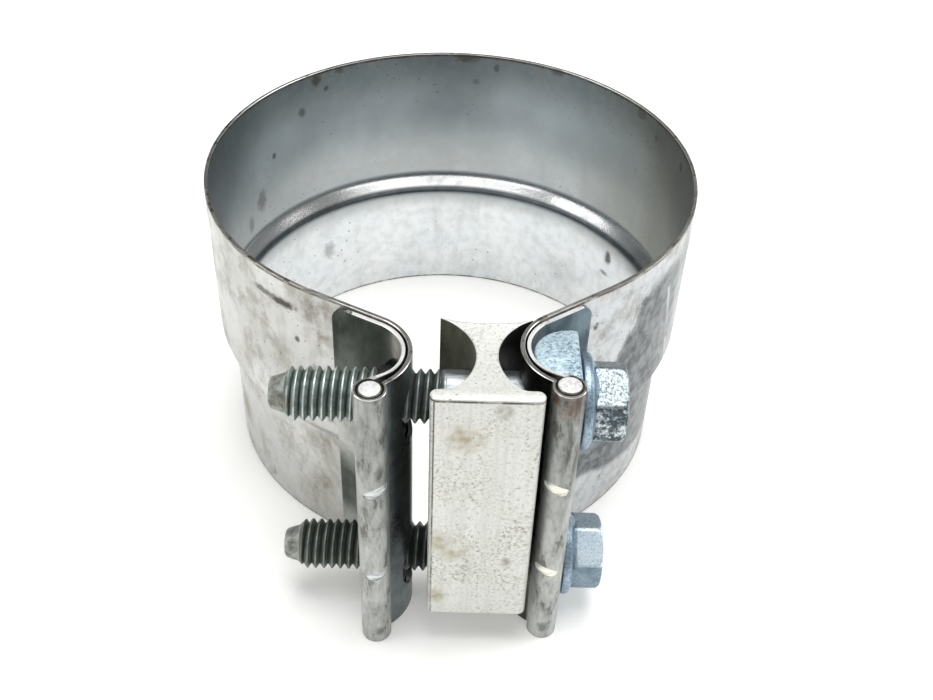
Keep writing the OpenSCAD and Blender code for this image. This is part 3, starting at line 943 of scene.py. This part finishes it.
def lining_material():
    """Inner layer of the loops, painted dark as shade inside them: dark green grey on the left, blue grey on
    the right.
    """
    k = Nodes("lining_steel_shaded", "place")
    cloud = k.stretched((190, 190, 110), 4, 0.62)
    dark = k.ramp(cloud, (0.36, (0.018, 0.023, 0.017)), (0.62, (0.080, 0.095, 0.079)))
    pale = k.ramp(cloud, (0.36, (0.22, 0.22, 0.19)), (0.62, (0.44, 0.45, 0.42)))
    paler_part = k.zone(k.z, 20, 30, 38, 44)
    left = k.mix(k.most(paler_part, k.times(k.fade(k.z, 14, 6), 0.7)), dark, pale)
    bend = k.times(k.fade(k.x, -12.8, -11.5), k.fade(k.z, 46, 53), 0.8)
    left = k.mix(bend, left, k.ramp(cloud, (0.40, (0.16, 0.14, 0.10)), (0.6, (0.36, 0.34, 0.29))))
    blue = k.ramp(cloud, (0.36, (0.045, 0.078, 0.10)), (0.62, (0.145, 0.20, 0.235)))
    base = k.mix(k.fade(k.x, -2, 2), left, blue)
    edge = k.noise(330, 4, 0.7)
    # Painted highlight on the rounded top edges.
    bevel = k.ramp(edge, (0.34, (0.34, 0.32, 0.27)), (0.42, (0.88, 0.88, 0.86)))
    torn = k.times(k.fade(k.x, -18.0, -19.5), k.fade(k.z, 61.2, 62.5), k.ramp(edge, (0.44, 1.0), (0.54, 0.0)))
    bevel = k.mix(torn, bevel, (0.07, 0.055, 0.035))
    top = k.ramp(edge, (0.36, (0.12, 0.10, 0.07)), (0.46, (0.34, 0.335, 0.31)))
    rim = k.mix(k.fade(k.z, 63.485, 63.497), bevel, top)
    base = k.mix(k.fade(k.z, 62.62, 62.72), base, rim)
    dents = k.bump(k.noise(26, 2, 0.5), 0.25, 0.9)
    grain = k.bump(k.noise(900, 4, 0.65), 0.15, 0.2, dents)
    return k.done(base, k.ramp(cloud, (0.3, 0.45), (0.7, 0.34)), 0.75, grain)


def nick_material():
    """Fresh metal in the nicks: grey on the left curl, cream on the right one."""
    k = Nodes("fresh_steel", "place")
    grain = k.stretched((300, 300, 2600))
    cream = k.ramp(grain, (0.35, (0.66, 0.64, 0.56)), (0.6, (0.95, 0.93, 0.86)))
    grey = k.ramp(grain, (0.35, (0.30, 0.32, 0.32)), (0.6, (0.70, 0.73, 0.74)))
    base = k.mix(k.fade(k.x, -1, 1), grey, cream)
    rough = k.ramp(k.noise(900, 2), (0.4, 0.35), (0.6, 0.5))
    return k.done(base, rough, 0.7, k.bump(k.noise(1800, 3), 0.3, 0.2))


def block_edges(k, base):
    """Thin dark brownish lines along the upper front edge of the block and down its left side."""
    below_top = k.fade(k.z, BLOCK_Z[1] - 0.20, BLOCK_Z[1] - 0.32)
    line = k.times(k.fade(k.z, BLOCK_Z[1] - 0.80, BLOCK_Z[1] - 0.60), below_top)
    line = k.times(line, k.ramp(k.noise(260, 4, 0.7), (0.36, 0.45), (0.50, 0.95)))
    side = k.fade(k.math("ABSOLUTE", k.math("ADD", k.x, 5.8 * MM)), 0.20, 0.06)
    side = k.times(side, below_top, k.ramp(k.noise(90, 4, 0.7), (0.40, 0.2), (0.55, 0.9)))
    front = k.fade(k.y, -66.0, -67.5)
    return k.mix(k.times(k.most(line, side), front), base, (0.075, 0.062, 0.04))


def speckled(name, light, mid, dark, scale, metallic, rough, bump=0.35, stains=(), finish=None):
    """Grainy metal: pale with fine darker grains, after a rough cast or plated skin."""
    k = Nodes(name)
    grain = k.noise(scale, 3, 0.75)
    cloud = k.noise(scale / 18, 4, 0.6, k.mapped((1, 1, 1), (2, 4, 1)))
    mixed = k.math("ADD", k.times(grain, 0.72), k.times(cloud, 0.28))
    base = k.ramp(mixed, (0.38, dark), (0.445, mid), (0.53, light))
    pit = k.ramp(k.voronoi(scale * 0.5, k.mapped((1, 1, 1), (1, 7, 3))), (0.08, 1.0), (0.20, 0.0))
    pit = k.times(pit, k.ramp(k.noise(scale / 7, 3), (0.50, 0.0), (0.62, 1.0)))
    base = k.mix(k.times(pit, 0.8), base, tuple(c * 0.35 for c in dark))
    along = k.mapped((scale * 0.6, scale * 0.6, scale / 40))
    base = k.mix(k.ramp(k.noise(1, 4, 0.65, along), (0.44, 0.0), (0.66, 0.7)), base, mid)
    for colour, centre, radius in stains:
        ragged = k.ramp(k.noise(scale / 4, 5, 0.7), (0.42, 0.1), (0.58, 0.8))
        base = k.mix(k.times(k.spot(centre, radius, 0.9), ragged), base, colour)
    if finish:
        base = finish(k, base)
    grains = k.bump(grain, bump, 0.3)
    rough = k.ramp(grain, (0.35, rough + 0.10), (0.6, rough - 0.04))
    return k.done(base, rough, metallic, k.bump(pit, 0.3, 0.3, grains))


def block_material():
    return speckled("block_alloy", (0.72, 0.725, 0.69), (0.61, 0.615, 0.575), (0.36, 0.35, 0.30),
                    1700, 0.45, 0.45, 0.28, BLOCK_STAINS, block_edges)


def bar_material():
    return speckled("bar_zinc", (0.60, 0.71, 0.76), (0.33, 0.45, 0.52), (0.08, 0.14, 0.18),
                    1600, 0.45, 0.42, 0.4)


# Painted shade: the nut is painted near black for the shade deep in the left loop.
def nut_material():
    return speckled("nut_steel", (0.055, 0.058, 0.055), (0.038, 0.04, 0.038), (0.015, 0.015, 0.014),
                    1500, 0.8, 0.42)


def pin_material():
    """Bright sheared ends over a soiled shank."""
    k = Nodes("pin_steel")
    grain = k.noise(1300, 4, 0.7)
    end = k.ramp(grain, (0.38, (0.52, 0.52, 0.51)), (0.55, (0.74, 0.74, 0.73)))
    drawn = k.stretched((500, 500, 90))
    shank = k.ramp(drawn, (0.38, (0.05, 0.045, 0.035)), (0.6, (0.30, 0.29, 0.26)))
    left_top = k.zone(k.z, 63.56, 63.59, 63.62, 63.66)
    base = k.mix(k.most(k.fade(k.z, 63.74, 63.78), left_top), shank, end)
    return k.done(base, k.ramp(grain, (0.35, 0.5), (0.6, 0.38)), 0.35, k.bump(grain, 0.2, 0.2))


def hollow_material():
    """Deep sides of the block, painted dark olive as shade in the hollows, darkest on the side of the bolt
    heads and paler towards the bottom.
    """
    k = Nodes("block_hollow")
    cloud = k.stretched((260, 260, 90))
    left = k.ramp(cloud, (0.36, (0.085, 0.09, 0.06)), (0.62, (0.15, 0.155, 0.11)))
    right = k.ramp(cloud, (0.36, (0.012, 0.014, 0.010)), (0.62, (0.030, 0.034, 0.027)))
    base = k.mix(k.fade(k.x, 3.0, 3.6), left, right)
    pit = k.ramp(k.voronoi(500), (0.06, 1.0), (0.14, 0.0))
    base = k.mix(k.times(pit, 0.7), base, (0.02, 0.02, 0.015))
    base = k.mix(k.fade(k.z, 30, 18), base, (0.20, 0.205, 0.17))
    return k.done(base, k.ramp(cloud, (0.35, 0.6), (0.65, 0.45)), 0.4, k.bump(cloud, 0.3, 0.3))


def grained(k, grain, dark, mid, light):
    return k.ramp(grain, (0.38, dark), (0.46, mid), (0.56, light))


def head_colour(k, x, lower, grain):
    """Blue zinc: dull on the flanges; pale on the lower hexagon and grey on the upper one, painted light and
    shade on the same plating.
    """
    grey = grained(k, grain, (0.09, 0.115, 0.13), (0.21, 0.245, 0.255), (0.33, 0.365, 0.375))
    pale = grained(k, grain, (0.42, 0.53, 0.62), (0.60, 0.72, 0.80), (0.72, 0.82, 0.88))
    flange = grained(k, grain, (0.15, 0.22, 0.29), (0.24, 0.325, 0.40), (0.33, 0.415, 0.49))
    # Painted light and shade: the lower hexagon is painted pale, the upper one grey.
    return k.mix(k.fade(x, 22.1, 22.6), flange, k.mix(lower, grey, pale))


def thread_colour(k, x, lower):
    """Greenish zinc with painted shade and highlight: black in the thread's root and pale on its crest,
    darker on the lower bolt and between the left loop and the block; the tip is duller.
    """
    radius = k.stored("radial")
    along = k.stretched((300, 520, 520))
    flank = k.ramp(along, (0.38, (0.15, 0.19, 0.172)), (0.62, (0.33, 0.385, 0.36)))
    crest = k.ramp(along, (0.38, (0.34, 0.39, 0.37)), (0.60, (0.60, 0.66, 0.645)))
    # Painted shade in the thread's root and painted highlight on its crest.
    colour = k.mix(k.fade(radius, 3.88, 4.25), (0.055, 0.070, 0.062), flank)
    colour = k.mix(k.fade(radius, 4.66, 4.75), colour, crest)
    # Painted shade on the lower bolt's thread.
    colour = k.mix(k.times(lower, 0.68), colour, (0.045, 0.052, 0.036))
    # Painted shade on the thread between the left loop and the block.
    colour = k.mix(k.times(k.fade(x, -13.0, -11.2), 0.62), colour, (0.022, 0.027, 0.025))
    tip = k.ramp(k.noise(600, 4, 0.6), (0.38, (0.12, 0.125, 0.105)), (0.6, (0.32, 0.345, 0.31)))
    return k.mix(k.fade(x, -30.2, -30.6), colour, tip)


def bolt_material():
    k = Nodes("bolt_zinc")
    x, lower, grain = k.stored("along"), k.fade(k.z, 34, 30), k.noise(2100, 3, 0.75)
    head, thread = head_colour(k, x, lower, grain), thread_colour(k, x, lower)
    drawn = k.stretched((260, 700, 700))
    shank = k.ramp(drawn, (0.35, (0.20, 0.235, 0.24)), (0.6, (0.46, 0.49, 0.495)))
    past_thread = k.fade(x, -4.2, -3.0)
    base = k.mix(k.fade(x, 19.0, 19.4), k.mix(past_thread, thread, shank), head)
    rust = k.ramp(k.noise(130, 4, 0.6, k.mapped((1, 1, 1), (4, 4, 4))), (0.62, 0.0), (0.72, 0.6))
    base = k.mix(rust, base, (0.13, 0.11, 0.07))
    rough = k.ramp(grain, (0.35, 0.48), (0.65, 0.34))
    return k.done(base, rough, k.linear(past_thread, 0.35, 0.5), k.bump(grain, 0.22, 0.3))


def facet_material():
    """Front facet of the hexagons, painted as shade: dark mottled plating with pale flecks on the upper bolt,
    blue grey on the lower one.
    """
    k = Nodes("bolt_zinc_facet_shaded")
    mottle = k.math("ADD", k.times(k.noise(520, 4, 0.7), 0.6), k.times(k.noise(2100, 3, 0.75), 0.4))
    upper = k.ramp(mottle, (0.45, (0.055, 0.075, 0.085)), (0.50, (0.20, 0.24, 0.26)),
                   (0.57, (0.62, 0.66, 0.67)))
    lower = k.ramp(mottle, (0.42, (0.15, 0.21, 0.26)), (0.60, (0.27, 0.36, 0.42)))
    base = k.mix(k.fade(k.z, 34, 30), upper, lower)
    return k.done(base, k.ramp(mottle, (0.4, 0.5), (0.6, 0.38)), 0.8, k.bump(mottle, 0.3, 0.3))


def floor_material():
    k = Nodes("floor_paper")
    k.bsdf.inputs["Emission Color"].default_value = (1.0, 0.985, 0.955, 1)
    k.bsdf.inputs["Emission Strength"].default_value = 0.20
    colour = k.ramp(k.noise(30, 3), (0.3, (0.88, 0.875, 0.86)), (0.7, (0.91, 0.905, 0.89)))
    return k.done(colour, 0.8, 0.0)


# -------- build
paint(make_band(), band_material(), nick_material(), lining_material())
pin_finish = pin_material()
for name, side, body in (("pin_left", -1, "left_half"), ("pin_right", 1, "right_half")):
    paint(make_pin(name, side, body), pin_finish)
paint(make_block(), block_material(), hollow_material())
paint(make_bar(), bar_material())
nut_finish = nut_material()
for node, z in zip(("nut_lower", "nut_upper"), BOLT_Z):
    paint(make_nut(node, z), nut_finish)
bolt_finish, shaded_facet = bolt_material(), facet_material()
for name, z, turn in zip(("bolt_lower", "bolt_upper"), BOLT_Z, (-6, 3)):
    paint(make_bolt(name, z, turn), bolt_finish, shaded_facet)

# -------- stage
FLOOR_HALF = 3000
corners = ((-1, -1), (1, -1), (1, 1), (-1, 1))
floor = new_object("floor", [(x * FLOOR_HALF, y * FLOOR_HALF, 0) for x, y in corners], [(0, 1, 2, 3)])
paint(floor, floor_material())


def area_light(name, where, look_at, width, height, power):
    """Soft rectangular light; places and sizes in metres, power in watts."""
    light = bpy.data.lights.new(name, "AREA")
    light.shape, light.size, light.size_y = "RECTANGLE", width, height
    light.energy = power
    lamp = bpy.data.objects.new(name, light)
    lamp.location = where
    lamp.rotation_euler = (Vector(look_at) - Vector(where)).to_track_quat("-Z", "Y").to_euler()
    bpy.context.collection.objects.link(lamp)


area_light("top", (0.06, 0.06, 1.0), (0, 0, 0), 0.7, 0.7, 11)
area_light("left", (-0.9, -0.15, 0.45), (0, -0.02, 0.03), 0.5, 0.8, 3.4)
area_light("right", (0.9, 0.10, 0.45), (0, -0.02, 0.03), 0.4, 0.8, 3.4)
area_light("front", (0, -1.2, 0.88), (0, 0.05, 0.03), 3.2, 0.32, 4.0)
world = bpy.data.worlds.new("studio")
bpy.context.scene.world = world
world.use_nodes = True
sky = world.node_tree.nodes["Background"]
sky.inputs["Color"].default_value = (0.95, 0.98, 1.0, 1)
sky.inputs["Strength"].default_value = 0.20
bpy.context.scene.view_settings.view_transform = "Standard"

# -------- camera
YAW, ELEVATION, ROLL = (radians(v) for v in (-3.548, 40.337, 1.675))
# distance from the origin, and steps to the right and up in the picture's plane, mm
CAMERA_BACK, CAMERA_RIGHT, CAMERA_UP = 271.858, 0.909, 12.548
level = Vector((cos(YAW), sin(YAW), 0))
away = Vector((sin(YAW), -cos(YAW), 0))
back = away * cos(ELEVATION) + Vector((0, 0, sin(ELEVATION)))
rise = back.cross(level)
right = cos(ROLL) * level + sin(ROLL) * rise
up = cos(ROLL) * rise - sin(ROLL) * level
where = (back * CAMERA_BACK + right * CAMERA_RIGHT + up * CAMERA_UP) * MM
lens = bpy.data.cameras.new("camera")
lens.sensor_width, lens.lens = 36, 43.914
lens.shift_x, lens.shift_y = 0.0189, -0.01056
lens.clip_start = 0.01
camera = bpy.data.objects.new("camera", lens)
camera.matrix_world = Matrix.Translation(where) @ Matrix((right, up, back)).transposed().to_4x4()
bpy.context.collection.objects.link(camera)
bpy.context.scene.camera = camera
